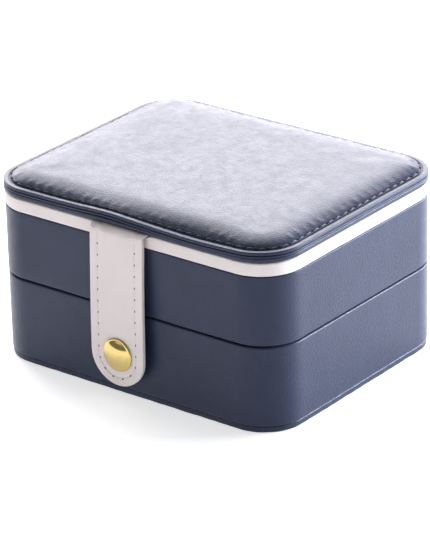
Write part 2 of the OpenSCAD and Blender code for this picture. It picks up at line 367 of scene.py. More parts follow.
def brass(name):
    """Polished gold-toned brass with faint wheel marks and fingering."""
    finish = Finish(name, Metallic=1.0)
    tone = finish.noise(160, 3, 0.6)
    finish.set("Base Color", finish.mixed(tone, (0.51, 0.38, 0.125), (0.65, 0.52, 0.225)))
    finish.set("Roughness", finish.mapped(finish.noise(420, 4, 0.7), 0.3, 0.7, 0.07, 0.16))
    finish.bump(finish.noise(330, 3, 0.55), 0.05 * MM, 0.5)
    finish.bump(finish.noise(2400, 2, 0.5, (6, 1, 1)), 0.004 * MM, 0.5)
    return finish.done()


def greyboard(name):
    """Pressed paper board with flecks."""
    finish = Finish(name, Roughness=0.9)
    fibre = finish.noise(900, 4, 0.7, (1, 1, 3))
    finish.set("Base Color", finish.mixed(fibre, (0.30, 0.25, 0.19), (0.52, 0.45, 0.35)))
    finish.bump(fibre, 0.05 * MM)
    return finish.done()


def foam(name):
    """Open-cell foam."""
    finish = Finish(name, Roughness=0.95)
    cells = finish.cells(1800)
    finish.set("Base Color", finish.ramp(cells, (0.1, (0.62, 0.62, 0.56)), (0.7, (0.86, 0.86, 0.8))))
    finish.bump(cells, 0.2 * MM)
    return finish.done()


def silvered_glass(name):
    """A mirror with the faintest smears."""
    finish = Finish(name, Metallic=1.0)
    smears = finish.noise(30, 5, 0.7, (1, 2.5, 1))
    finish.set("Base Color", finish.mixed(smears, (0.84, 0.87, 0.88), (0.9, 0.92, 0.92)))
    finish.set("Roughness", finish.mapped(smears, 0.3, 0.8, 0.015, 0.06))
    return finish.done()


def painted_hole_shade(name, colour, shade):
    """Painted shade: a near-black colour that stands in for the shade inside a needle hole."""
    finish = Finish(name, Roughness=0.85)
    finish.set("Base Color", finish.mixed(finish.noise(2000), shade, colour))
    return finish.done()


NAVY = leather("navy_leather", (0.0150, 0.0215, 0.051), (0.0115, 0.0165, 0.041),
               (0.029, 0.037, 0.070), 0.37, sheen=0.13, tint=(0.80, 0.86, 1.0))
CREAM = leather("cream_leather", (0.735, 0.675, 0.665), (0.70, 0.64, 0.625), (0.77, 0.72, 0.71), 0.46)
VELVET = velvet("cream_velvet", (0.68, 0.61, 0.52), (0.54, 0.48, 0.40))
NAVY_THREAD = thread("navy_thread", (0.055, 0.066, 0.115), (0.030, 0.036, 0.065))
CREAM_THREAD = thread("cream_thread", (0.80, 0.74, 0.70), (0.64, 0.58, 0.53))
# Painted shade: dark dots stand in for the shade inside the needle holes of both stitch rows.
NAVY_HOLE_SHADE = painted_hole_shade("navy_hole_painted_shade", (0.008, 0.008, 0.016), (0.004, 0.004, 0.008))
CREAM_HOLE_SHADE = painted_hole_shade("cream_hole_painted_shade", (0.20, 0.17, 0.15), (0.12, 0.10, 0.09))
BRASS = brass("gold_brass")
GREYBOARD = greyboard("greyboard")
FOAM = foam("white_foam")
MIRROR = silvered_glass("silvered_glass")


# -------- repeated things along a path
def run_tree(name, sizes, unit):
    """A tree that repeats a unit along a path, facing the path's own face_up direction."""
    tree = bpy.data.node_groups.new(name, "GeometryNodeTree")
    sockets = {"Path": "Geometry", "Count": "Int", **dict.fromkeys(sizes, "Float"), "Finish": "Material"}
    for socket, kind in sockets.items():
        tree.interface.new_socket(socket, in_out="INPUT", socket_type="NodeSocket" + kind)
    tree.interface.new_socket("Pieces", in_out="OUTPUT", socket_type="NodeSocketGeometry")
    given = add_node(tree, "NodeGroupInput")
    curve = add_node(tree, "GeometryNodeMeshToCurve", {"Mesh": given["Path"]})
    spaced = add_node(tree, "GeometryNodeResampleCurve",
                      {"Curve": curve["Curve"], "Count": given["Count"]}, mode="COUNT")
    along = add_node(tree, "GeometryNodeInputTangent")
    face_up = add_node(tree, "GeometryNodeInputNamedAttribute", {"Name": "face_up"},
                       data_type="FLOAT_VECTOR")
    heading = add_node(tree, "FunctionNodeAlignRotationToVector",
                       {"Vector": along["Tangent"]}, axis="X")
    facing = add_node(tree, "FunctionNodeAlignRotationToVector",
                      {"Rotation": heading["Rotation"], "Vector": face_up["Attribute"]},
                      axis="Z", pivot_axis="X")
    repeated = add_node(tree, "GeometryNodeInstanceOnPoints",
                        {"Points": spaced["Curve"], "Instance": unit(tree, given),
                         "Rotation": facing["Rotation"]})
    solid = add_node(tree, "GeometryNodeRealizeInstances", {"Geometry": repeated["Instances"]})
    finished = add_node(tree, "GeometryNodeSetMaterial",
                        {"Geometry": solid["Geometry"], "Material": given["Finish"]})
    add_node(tree, "NodeGroupOutput", {"Pieces": finished["Geometry"]})
    return tree


def stitch_unit(tree, given):
    """One arched stitch of thread that dives into the leather at both ends."""
    def times(size, share):
        """A given size multiplied by a share."""
        inputs = {0: given[size], 1: share}
        return add_node(tree, "ShaderNodeMath", inputs, operation="MULTIPLY")[0]

    def point(**axes):
        """A place, from its distance along each axis."""
        return add_node(tree, "ShaderNodeCombineXYZ", axes)[0]

    line = add_node(tree, "GeometryNodeCurveQuadraticBezier",
                    {"Resolution": 6, "Start": point(X=times("Stitch", -0.5), Z=times("Thread", -1.2)),
                     "Middle": point(Z=given["Arch"]),
                     "End": point(X=times("Stitch", 0.5), Z=times("Thread", -1.2))})
    circle = add_node(tree, "GeometryNodeCurvePrimitiveCircle",
                      {"Resolution": 8, "Radius": given["Thread"]})
    cord = add_node(tree, "GeometryNodeCurveToMesh",
                    {"Curve": line["Curve"], "Profile Curve": circle["Curve"],
                     "Fill Caps": True})
    turned = add_node(tree, "GeometryNodeTransform",
                      {"Geometry": cord["Mesh"], "Rotation": point(Z=given["Slant"])})
    return turned["Geometry"]


def hole_unit(tree, given):
    """One small flattened dome at a needle hole, drawn in a finish of painted hole shade."""
    dimple = add_node(tree, "GeometryNodeMeshUVSphere",
                      {"Segments": 10, "Rings": 6, "Radius": given["Hole"]})
    squeeze = add_node(tree, "ShaderNodeCombineXYZ", {"X": 1.35, "Y": 1.0, "Z": 0.45})
    flat = add_node(tree, "GeometryNodeTransform",
                    {"Geometry": dimple["Mesh"], "Scale": squeeze[0]})
    return flat["Geometry"]


STITCH_RUN = run_tree("stitch_run", ("Stitch", "Thread", "Arch", "Slant"), stitch_unit)
HOLE_RUN = run_tree("hole_run", ("Hole",), hole_unit)


def as_mesh(piece):
    """The mesh that a piece's modifiers make."""
    bpy.context.view_layer.update()
    shown = piece.evaluated_get(bpy.context.evaluated_depsgraph_get())
    return bpy.data.meshes.new_from_object(shown)


def run_along(name, tree, places, face_up, values, finish, closed=False):
    """Runs a tree along a path and keeps its result as a plain mesh."""
    path = bpy.data.meshes.new(name + "_path")
    count = len(places)
    edges = [(i, (i + 1) % count) for i in range(count if closed else count - 1)]
    path.from_pydata([tuple(p) for p in places], edges, [])
    ups = path.attributes.new("face_up", "FLOAT_VECTOR", "POINT")
    ups.data.foreach_set("vector", np.asarray(face_up, np.float32).ravel())
    carrier = linked(name + "_carrier", path)
    run = carrier.modifiers.new("run", "NODES")
    run.node_group = tree
    for socket in tree.interface.items_tree:
        if socket.in_out == "INPUT" and socket.name in values:
            run[socket.identifier] = values[socket.name]
        if socket.in_out == "INPUT" and socket.name == "Finish":
            run[socket.identifier] = finish
    mesh = as_mesh(carrier)
    bpy.data.objects.remove(carrier)
    mesh.shade_smooth()
    mesh.name = name
    return linked(name, mesh)


def surface_of(piece):
    """A piece's surface, for finding where a line meets it."""
    corners = [v.co for v in piece.data.vertices]
    return BVHTree.FromPolygons(corners, [p.vertices for p in piece.data.polygons])


def laid_on(piece, path, face_up, lift=0.0):
    """Moves a path onto a piece's surface, along its own face_up directions."""
    surface = surface_of(piece)
    laid = []
    for point, up in zip(path, face_up):
        hit = surface.ray_cast(Vector(point) + 3 * MM * Vector(up), -Vector(up))[0]
        laid.append(np.array(hit) + lift * np.array(up) if hit else np.array(point))
    return np.array(laid)


def part_way(path, ups, start, end, closed):
    """The stretch of a path between two distances along it, and its face_up directions."""
    if closed:
        path, ups = np.vstack([path, path[:2]]), np.vstack([ups, ups[:2]])
    far = np.concatenate([[0], np.cumsum(np.linalg.norm(np.diff(path, axis=0), axis=1))])
    at = np.linspace(start, end, len(path) * 2)
    if closed:
        at = at[:-1]
    return [np.column_stack([np.interp(at, far, rows[:, k]) for k in range(3)]) for rows in (path, ups)]


def sewn(name, path, ups, sizes, finish, hole_shade_finish, body, closed=False):
    """A row of stitches, with a dark dot of painted hole shade between each stitch and the next."""
    pitch, stitch, thread_r, hole = sizes
    length = np.linalg.norm(np.diff(path, axis=0), axis=1).sum()
    if closed:
        length += np.linalg.norm(path[0] - path[-1])
    count = round(length / pitch)
    pitch = length / count
    row = run_along(name, STITCH_RUN, path, ups,
                    {"Count": count if closed else count + 1, "Stitch": stitch, "Thread": thread_r,
                     "Arch": 1.6 * thread_r, "Slant": 0.1}, finish, closed)
    last = length + pitch / 2 if closed else length - pitch / 2
    middle, middle_ups = part_way(path, ups, pitch / 2, last, closed)
    # Painted shade: dark dots between the stitches stand in for the needle holes.
    hole_shade_dots = run_along(name + "_holes", HOLE_RUN, middle, middle_ups,
                      {"Count": count, "Hole": hole}, hole_shade_finish, closed)
    for piece in (row, hole_shade_dots):
        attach(piece, body)


# -------- leather covers of the cases
def mm(length):
    """A length in millimetres."""
    return length / MM


def cover(name, node, seed, body, inside=ROOM_IN, bottom_lip=False):
    """Leather over a wall's outside and over its top edge, or its bottom edge, with soft folds."""
    low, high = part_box(node)
    top, bottom = mm(high.z), mm(low.z)
    t, room = mm(LEATHER), mm(inside)
    if bottom_lip:
        corners = [(0, top, 0.55), (0, bottom, 0.9), (room, bottom, 0.3), (room, bottom + t, 0),
                   (t, bottom + t, 0), (t, top, 0.4)]
    else:
        corners = [(0, bottom, 0.7), (0, top, 0.9), (room, top, 0.8), (room, top - t, 0),
                   (t, top - t, 0), (t, bottom, 0.3)]
    piece = swept(name, corners, 2.5 * MM, NAVY)
    rumpled(piece, 26 * MM, 0.10 * MM, seed)
    rumpled(piece, 7 * MM, 0.035 * MM, seed + 5)
    dressed(piece, body, "navy_leather", node)


def base_plate():
    """The leather-wrapped plate that the case stands on, with its wrap's edge turned in below."""
    edge, top = mm(BASE_IN), mm(BASE_TOP)
    corners = [(50, 0, 0), (edge, 0, 0.6), (edge, top, 0.7), (edge + 1, top, 0.3), (edge + 1, 1, 0)]
    piece = swept("base_leather", corners, 3 * MM, NAVY, closed=False)
    rumpled(piece, 4 * MM, 0.16 * MM, 13)
    points = coordinates(piece)
    points[:, 2] = np.maximum(points[:, 2], 0)
    place(piece, points)
    dressed(piece, "lower_case", "navy_leather", "base_cover")


cover("lower_case_leather", "lower_cover", 1, "lower_case")
cover("upper_case_leather", "upper_cover", 2, "upper_case", inside=LEATHER + BOARD, bottom_lip=True)
base_plate()


def notched_collar():
    """Cream leather over the collar's outside and top, dipped where the strap passes over."""
    bottom, top, t, room = mm(UPPER_TOP), mm(COLLAR_TOP), mm(LEATHER), mm(ROOM_IN)
    corners = [(0, bottom, 0.9), (0, top, 0.9), (room, top, 0.8), (room, top - t, 0),
               (t, top - t, 0), (t, bottom, 0.2)]
    piece = swept("collar_leather", corners, 1.2 * MM, CREAM)
    notch_low = LID_BOTTOM - PLY_T - 0.3 * MM
    points = coordinates(piece)
    beside = np.clip((np.abs(points[:, 0] - STRAP_X) - STRAP_W / 2) / (1.2 * MM), 0, 1)
    height = np.clip((points[:, 2] - UPPER_TOP) / (COLLAR_TOP - UPPER_TOP), 0, 1)
    in_front = points[:, 1] < -CASE_D / 2 + 2 * ROOM_IN
    points[:, 2] -= np.where(in_front, (1 - beside) * height, 0) * (COLLAR_TOP - notch_low)
    place(piece, points)
    rumpled(piece, 18 * MM, 0.08 * MM, 3)
    dressed(piece, "upper_case", "cream_leather", "collar_cover")


notched_collar()


# -------- cloth
SWELL_FRAMES = 20
ROLL_SWELL = 1.1 * MM
TOP_SWELL = 1.2 * MM


def swelled(pieces, pressure, caps, pinned=()):
    """Lets closed skins swell under pressure, each point moving no further than its cap."""
    scene = bpy.context.scene
    starts = {}
    for piece in pieces:
        starts[piece] = coordinates(piece)
        cloth = piece.modifiers.new("swell", "CLOTH")
        cloth.settings.quality = 6
        cloth.settings.mass = 0.3
        cloth.settings.use_pressure = True
        cloth.settings.uniform_pressure_force = pressure
        cloth.settings.effector_weights.gravity = 0
        cloth.collision_settings.use_collision = False
        cloth.point_cache.frame_start = 1
        cloth.point_cache.frame_end = SWELL_FRAMES
        if piece in pinned:
            cloth.settings.vertex_group_mass = "held"
            cloth.settings.pin_stiffness = 2.0
    for number in range(1, SWELL_FRAMES + 1):
        scene.frame_set(number)
    graph = bpy.context.evaluated_depsgraph_get()
    for piece, cap in zip(pieces, caps):
        moved = coordinates(piece.evaluated_get(graph)) - starts[piece]
        far = np.linalg.norm(moved, axis=1)
        moved *= (np.minimum(far, cap) / np.maximum(far, 1e-9))[:, None]
        piece.modifiers.clear()
        place(piece, starts[piece] + moved)
    scene.frame_set(1)


VALLEY_IN = LID_IN + 2.95 * MM
VALLEY_TOP = FLANGE_TOP - 0.05 * MM
RIDGE_IN = CASE_D / 2


def crown_height(inset):
    """Height of the padded top at a distance in from the outline."""
    share = np.clip((inset - VALLEY_IN) / SLOPE_W, 0, 1)
    return VALLEY_TOP + (CROWN_TOP - VALLEY_TOP) * (1 - (1 - share) ** 2) ** 0.68


def evened(piece, voxel):
    """The piece's mesh remade with faces all about one size."""
    remesh = piece.modifiers.new("even", "REMESH")
    remesh.mode = "VOXEL"
    remesh.voxel_size = voxel
    mesh = as_mesh(piece)
    piece.modifiers.clear()
    piece.data = mesh
    return piece


def domed(name, bottom, insets, sunk):
    """A foam form with a flat bottom, whose top lies sunk below the crown."""
    rows = [level_loop(insets[0], bottom, 3)]
    rows += [level_loop(inset, crown_height(inset) - sunk, 3) for inset in insets]
    return skin(name, rows, FOAM, closed=False)


def padded_top():
    """The form under the lid's leather, held below the stitching and free to swell above it."""
    insets = np.linspace(VALLEY_IN + 1 * MM, RIDGE_IN, 16)
    piece = evened(domed("padded_top_form", FLANGE_TOP - 12 * MM, insets, 0.6 * MM), 4 * MM)
    held = piece.vertex_groups.new(name="held")
    held.add([int(i) for i in np.flatnonzero(coordinates(piece)[:, 2] < FLANGE_TOP)], 1.0, "REPLACE")
    return piece


def heights_over(piece, places, fallback):
    """Height of a piece's top surface over each place."""
    surface = surface_of(piece)
    hits = [surface.ray_cast(Vector((x, y, 1)), Vector((0, 0, -1)))[0] for x, y in places]
    return np.array([hit.z if hit else fallback for hit in hits])


def soft_copy(name, node, voxel, shrink, material):
    """A remeshed copy of a CAD solid, drawn in a little so that it has room to swell."""
    grown = bmesh.new()
    grown.from_mesh(frame["nodes"][node].data)
    bmesh.ops.remove_doubles(grown, verts=grown.verts, dist=1e-5)
    mesh = bpy.data.meshes.new(name)
    grown.to_mesh(mesh)
    grown.free()
    piece = evened(linked(name + "_source", mesh), voxel)
    piece.name = piece.data.name = name
    piece.data.shade_smooth()
    piece.data.materials.clear()
    piece.data.materials.append(material)
    pushed(piece, -shrink)
    return piece


def smoothed(piece):
    """Eases a mesh's kinks and subdivides it once."""
    bm = bmesh.new()
    bm.from_mesh(piece.data)
    bmesh.ops.smooth_vert(bm, verts=bm.verts, factor=0.5,
                          use_axis_x=True, use_axis_y=True, use_axis_z=True)
    bm.to_mesh(piece.data)
    bm.free()
    finer = piece.modifiers.new("finer", "SUBSURF")
    finer.levels = finer.render_levels = 1


ROLLS = sorted(node for node in frame["nodes"] if node.startswith("ring_roll_"))
roll_pieces = [soft_copy(node.replace("ring_roll", "velvet_roll"), node, 2.6 * MM, 0.8 * MM, VELVET)
               for node in ROLLS]
top_form = padded_top()
resting_form = top_form.copy()
resting_form.data = top_form.data.copy()
swell_caps = [ROLL_SWELL] * len(roll_pieces) + [TOP_SWELL]
swelled([*roll_pieces, top_form], 3.0, swell_caps, pinned=[top_form])
for piece, node in zip(roll_pieces, ROLLS):
    smoothed(piece)
    dressed(piece, "upper_case", "cream_velvet", node)


# -------- lid
STITCH_IN = LID_IN + 3.6 * MM
LID_WAVE = 0.22 * MM
SWELL_SHOWN = 0.22


def lid_wave(places):
    """The rise and fall of the lid's stitched edge, which lifts over the strap and dips beside it."""
    uneven = LID_WAVE * np.array([noise.noise(Vector((x / 0.045, y / 0.045, 4.2))) for x, y in places])
    x, y = places.T
    front = np.clip((-y - CASE_D / 2 + 12 * MM) / (10 * MM), 0, 1)
    over = 0.8 * MM * np.exp(-((x - STRAP_X + 8 * MM) / (16 * MM)) ** 2)
    beside = 0.8 * MM * np.exp(-((x - STRAP_X - 40 * MM) / (20 * MM)) ** 2)
    return uneven + front * (over - beside)


def gathers():
    """Uneven gathers in the leather, one at each stitch, for each of the outline's points."""
    places = outline(0)
    steps = np.linalg.norm(np.roll(places, -1, axis=0) - places, axis=1)
    at = np.concatenate([[0], np.cumsum(steps)[:-1]])
    count = round(steps.sum() / STITCH_PITCH)
    waves = np.cos(2 * np.pi * at * count / steps.sum())
    uneven = np.array([noise.noise(Vector((a / 0.006, 3.1, 0.4))) for a in at])
    return waves * (0.65 + 0.8 * uneven) + 0.7 * uneven


def lid_rim():
    """The lid's turned edge, with a crease at half height and a bead along its top."""
    edge, top, bottom = mm(LID_IN), mm(FLANGE_TOP), mm(PLY_TOP)
    corners = [(edge + 3.6, bottom, 0), (edge, bottom, 0.45), (edge, top - 1.35, 0.3),
               (edge + 0.55, top - 1.2, 0.12), (edge + 0.55, top - 0.95, 0.12), (edge, top - 0.8, 0.25),
               (edge, top + 0.4, 0.5), (edge + 2.1, top + 0.4, 0.5), (edge + 2.6, top - 0.1, 0.2),
               (mm(VALLEY_IN), mm(VALLEY_TOP), 0)]
    return profile_of(corners, 0.6 * MM, closed=False)


def lid_wave_share(inset):
    """How much of the edge's rise and fall is left at a distance in from the outline."""
    return np.exp(-((inset - LID_IN) / (9 * MM)) ** 2)


def lid_leather():
    """The lid's top leather: turned edge, stitched valley, gathered shoulder and padded top."""
    slope = [0.35, 0.7, 1.1, 1.6, 2.1, 2.7, 3.3, 4, 4.8, 5.6, 6.6, 7.8, 9, 10.4, 12, 14, 16]
    fine = VALLEY_IN + np.array(slope) * MM
    coarse = np.arange(fine[-1] + 2.2 * MM, RIDGE_IN - 7 * MM, 2.2 * MM)
    last = RIDGE_IN - np.array([6, 4.5, 3, 1.5, 0.5, 0]) * MM
    rim = lid_rim()
    crown = [(inset, crown_height(inset)) for inset in np.concatenate([fine, coarse, last])]
    folds = gathers()
    rows = []
    for inset, height in rim + crown:
        places = outline(inset)
        heights = np.full(len(places), height)
        if len(rows) >= len(rim):
            swelling = heights_over(top_form, places, 0) - heights_over(resting_form, places, 0)
            heights = heights + SWELL_SHOWN * np.clip(swelling, -0.5 * MM, TOP_SWELL)
        depth = 0.32 * MM * np.exp(-((inset - STITCH_IN - 2.4 * MM) / (1.9 * MM)) ** 2)
        ripple = lid_wave(places) * lid_wave_share(inset)
        rows.append(np.column_stack([places, heights + depth * folds + ripple]))
    piece = skin("lid_leather", rows, NAVY, closed=False)
    rumpled(piece, 34 * MM, 0.045 * MM, 7)
    dressed(piece, "lid", "navy_leather", "lid_cover")
    return piece


def foam_pad():
    """The foam under the leather, which the leather hides."""
    start = CROWN_IN + 1.2 * MM
    end = start + SLOPE_W
    insets = [*np.linspace(start, end, 8), *np.linspace(end + 6 * MM, RIDGE_IN, 6)]
    piece = domed("lid_foam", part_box("lid_pad")[0].z, insets, 1.6 * MM)
    dressed(piece, "lid", "foam", "lid_pad")


def lid_lower_ply():
    """The lower leather ply, whose edge shows below the stitched one."""
    edge, bottom, top = mm(LID_IN), mm(LID_BOTTOM), mm(PLY_TOP)
    corners = [(60, bottom, 0), (edge, bottom, 0.7), (edge, top, 0.55), (edge + 3, top, 0)]
    rows = []
    for inset, height in profile_of(corners, 2 * MM, closed=False):
        places = outline(inset)
        sway = 0.5 * lid_wave(places) * lid_wave_share(inset)
        rows.append(np.column_stack([places, height + sway]))
    piece = skin("lid_lower_leather", rows, NAVY, closed=False)
    rumpled(piece, 9 * MM, 0.06 * MM, 9)
    dressed(piece, "lid", "navy_leather", "lid_ply")


def lid_stitches(leather_piece):
    """Thread all round the lid, along the valley between its edge and its padded top."""
    level = level_loop(STITCH_IN, FLANGE_TOP)
    ups = np.tile([0.0, 0.0, 1.0], (len(level), 1))
    path = laid_on(leather_piece, level, ups)
    sewn("lid_thread", path, ups, (STITCH_PITCH, 2.6 * MM, 0.24 * MM, 0.66 * MM),
         NAVY_THREAD, NAVY_HOLE_SHADE, "lid", closed=True)


lid_stitches(lid_leather())
foam_pad()
lid_lower_ply()
bpy.data.objects.remove(top_form)
bpy.data.objects.remove(resting_form)


# -------- flat pieces of leather
ARC_STEPS = 10
EDGE_STEPS = 8
START_R = 0.6 * MM


def tongue(width, length, inset, side_steps):
    """A loop round a flat strip, moved in by inset, as (across, along) points.

    It runs down the left side, round the end, up the right side and round the start."""
    half = width / 2 - inset
    near = min(max(START_R - inset, 0.15 * MM), half)
    far = min(max(STRAP_W / 2 - inset, 0.15 * MM), half)
    turns = np.radians(np.linspace(0, 90, ARC_STEPS + 1))[1:-1]
    sides = np.linspace(inset + near, length - inset - far, side_steps)
    left = [(-half, t) for t in sides]
    bottom_left = [(-half + far - far * math.cos(a), length - inset - far + far * math.sin(a))
                   for a in turns]
    flat = np.linspace(-half + far, half - far, EDGE_STEPS) if half - far > 0.05 * MM else [0.0]
    end = [(x, length - inset) for x in flat]
    bottom_right = [(-x, t) for x, t in reversed(bottom_left)]
    right = [(half, t) for t in reversed(sides)]
    top_right = [(half - near + near * math.cos(a), inset + near - near * math.sin(a)) for a in turns]
    start = [(x, inset) for x in np.linspace(half - near, -half + near, EDGE_STEPS)]
    top_left = [(-x, t) for x, t in reversed(top_right)]
    return np.array(left + bottom_left + end + bottom_right + right + top_right + start + top_left)


def flat_leather(name, width, length, profile, lay, side_steps):
    """A strip of leather whose edge profile, (inset, height) pairs from below to above, follows
    its outline. lay puts (across, along, height) in space."""
    loops = []
    for inset, height in profile:
        loop = tongue(width, length, inset, side_steps)
        loops.append(np.column_stack([loop, np.full(len(loop), height)]))
    count = len(loops[0])
    faces = loop_faces(count, len(loops))
    right_edge = width / 2 - profile[0][0] - 1e-9
    right_first = next(i for i in range(side_steps, count) if loops[0][i, 0] > right_edge)
    for base in (0, (len(loops) - 1) * count):
        left = range(side_steps)
        right = [right_first + side_steps - 1 - i for i in left]
        for i in range(side_steps - 1):
            faces.append((base + i, base + i + 1, base + right[i + 1], base + right[i]))
        faces.append([base + i for i in range(side_steps - 1, right_first + 1)])
        faces.append([base + i for i in range(right_first + side_steps - 1, count)] + [base])
    return mesh_piece(name, lay(np.concatenate(loops)), faces, CREAM)


def strip_profile(half_t, edge_r, half_width, channel=None):
    """From the middle below, round a softened edge, to the middle above, with a pressed channel
    where it is sewn."""
    inner = half_width - 0.35 * MM
    below = [(w, -half_t) for w in np.arange(inner, edge_r + 0.5 * MM, -3 * MM)]
    turn = [(edge_r - edge_r * math.sin(a), -half_t + edge_r - edge_r * math.cos(a))
            for a in np.radians((0, 30, 60, 90))]
    back = [(i, -h) for i, h in reversed(turn)]
    above_at = [*np.arange(edge_r + 0.5 * MM, inner, 1.6 * MM), inner]
    if channel is None:
        return below + turn + back + [(w, half_t) for w in above_at]
    above_at += [channel + d * MM for d in (-0.9, -0.5, -0.2, 0, 0.2, 0.5, 0.9)]
    pressed = [(w, half_t - 0.22 * MM * math.exp(-((w - channel) / (0.45 * MM)) ** 2))
               for w in sorted(above_at)]
    return below + turn + back + pressed


# -------- strap
root_low, root_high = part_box("strap_root")
BEND_R = 1.2 * MM + PLY_T / 2
STRAP_MID = STRAP_FRONT + PLY_T / 2
EDGE_R = 0.35 * MM
LEAN = 1.9 * MM
BEND_Y = STRAP_MID + BEND_R + LEAN
ROOT_Z = (root_low.z + root_high.z) / 2
BEND_Z = ROOT_Z - BEND_R
LEVEL = root_high.y - BEND_Y
TURN = BEND_R * math.pi / 2
FRONT_LENGTH = LEVEL + TURN + BEND_Z - STRAP_END
SEAM_IN = 4.1 * MM
END_SEAM = 3.3 * MM
SHIFT = -0.5 * MM


def lean(down):
    """How far in from its snapped place the strap hangs, at a distance below its bend."""
    share = np.clip(down / (BEND_Z - SNAP_Z), 0, 1)
    return LEAN * (1 - share) - 0.25 * MM * np.sin(np.pi * share) ** 2


def lay_front(flat):
    """Puts the front ply's flat points on their way out from the lid, round the bend and down."""
    across, along, height = flat.T
    turn = np.clip((along - LEVEL) / BEND_R, 0, math.pi / 2)
    level = np.minimum(along, LEVEL)
    down = np.maximum(along - LEVEL - TURN, 0)
    y = root_high.y - level - (BEND_R + height) * np.sin(turn) + lean(down) - LEAN
    z = BEND_Z + (BEND_R + height) * np.cos(turn) - down
    return np.column_stack([STRAP_X + SHIFT + across, y, z])


def lay_back(flat):
    """The back ply hangs straight behind the front one."""
    across, along, height = flat.T
    y = STRAP_MID + PLY_T - height + lean(along)
    return np.column_stack([STRAP_X + SHIFT + across, y, BEND_Z - along])


def strap_face(across, along, height=0.0):
    """Places on the front ply, or at a height above its middle."""
    return lay_front(np.column_stack([across, along, np.full(len(across), height)]))


def strap_pieces():
    """The strap's two plies. The front one runs on round the bend and under the lid."""
    half = STRAP_W / 2
    front_profile = strip_profile(PLY_T / 2, EDGE_R, half, SEAM_IN)
    back_profile = strip_profile(PLY_T / 2, EDGE_R, half - 0.15 * MM)
    front = flat_leather("strap_front_leather", STRAP_W, FRONT_LENGTH, front_profile, lay_front, 110)
    back = flat_leather("strap_back_leather", STRAP_W - 0.3 * MM, BEND_Z - STRAP_END, back_profile,
                        lay_back, 60)
    rumpled(front, 22 * MM, 0.10 * MM, 11)
    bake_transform(front)
    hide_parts("strap_front", "strap_neck", "strap_root")
    dressed(back, "strap", "cream_leather", "strap_back")
    return front


def strap_stitches(front):
    """Thread down both sides of the strap and round its end."""
    half = STRAP_W / 2
    top = LEVEL + TURN + 3.5 * MM
    centre = FRONT_LENGTH - half
    radius = half - SEAM_IN
    sides = np.arange(top, centre, 0.5 * MM)
    turns = np.linspace(0, math.pi, 60)
    straight = np.full(len(sides), radius)
    across = np.concatenate([-straight, -radius * np.cos(turns), straight])
    along = np.concatenate([sides, centre + (half - END_SEAM) * np.sin(turns), sides[::-1]])
    path = strap_face(across, along)
    ups = strap_face(across, along, 1 * MM) - path
    ups /= np.linalg.norm(ups, axis=1)[:, None]
    path = laid_on(front, path, ups, -0.05 * MM)
    sewn("strap_thread", path, ups, (STITCH_PITCH, 3.9 * MM, 0.22 * MM, 0.45 * MM),
         CREAM_THREAD, CREAM_HOLE_SHADE, "strap")


strap_stitches(strap_pieces())


# -------- snap
SOCKET = [(1.55, 0.0), (5.0, 0.0), (5.2, 0.2), (5.2, 0.75), (5.0, 0.95), (4.5, 1.0), (4.4, 1.2),
          (4.3, 2.1), (4.1, 2.3), (3.0, 2.3), (2.75, 2.1), (2.7, 1.9), (2.7, 0.5), (1.55, 0.5)]
STUD = [(1.55, 0.0), (4.45, 0.0), (4.6, 0.15), (4.6, 0.4), (4.4, 0.5), (2.2, 0.55), (1.85, 0.75),
        (1.8, 1.05), (2.15, 1.3), (2.3, 1.55), (2.2, 1.85), (1.85, 2.06), (1.3, 2.1), (0.7, 2.02),
        (0.05, 2.0)]


def cap_profile():
    """The domed cap with its rolled rim, and the post that runs through both plies."""
    rim, dome, radius = 0.85, 1.75, mm(CAP_R)
    shares = 1 - np.linspace(0, 1, 16)
    crown = [(max((radius - 0.55) * share, 0.05), rim + dome * (1 - share**2)) for share in shares]
    rolled = [(radius - 0.9, 0.0), (radius - 0.35, 0.02), (radius - 0.06, 0.25), (radius, 0.5),
              (radius - 0.1, 0.75), (radius - 0.32, 0.86)]
    post = [(0.05, -2.75), (2.0, -2.75), (2.0, -2.5), (1.5, -2.5), (1.5, 0.0)]
    return post + rolled + crown


def spun(node, profile, face, towards, body):
    """A turned part on the snap's axis. Its profile is (radius, distance from the face), in
    millimetres."""
    turns = np.linspace(0, 2 * np.pi, 72, endpoint=False)
    rows = []
    for radius, out in profile:
        across, up = radius * MM * np.cos(turns), radius * MM * np.sin(turns)
        deep = np.full(len(turns), face + towards * out * MM)
        rows.append(np.column_stack([STRAP_X + across, deep, SNAP_Z + up]))
    dressed(skin(node + "_gold", rows, BRASS, closed=False), body, "gold_brass", node)


spun("snap_cap", cap_profile(), STRAP_FRONT, -1, "strap")
spun("snap_socket", SOCKET, STRAP_FRONT + 2 * PLY_T, 1, "strap")
spun("snap_stud", STUD, -CASE_D / 2, -1, "lower_case")


# -------- hinges
HINGE_T = 0.9 * MM
HINGE_EDGE_R = 0.35 * MM


def hinge_height(across, along, width, length):
    """Height of a hinge's face: round at its edge, with a line pressed in beside the edge."""
    near = min(width / 2 - abs(across), along, length - along)
    missing = max(HINGE_EDGE_R - near, 0)
    fall = HINGE_EDGE_R - math.sqrt(max(HINGE_EDGE_R**2 - missing**2, 0))
    return HINGE_T / 2 - fall - 0.12 * MM * math.exp(-((near - 2.2 * MM) / (0.4 * MM)) ** 2)


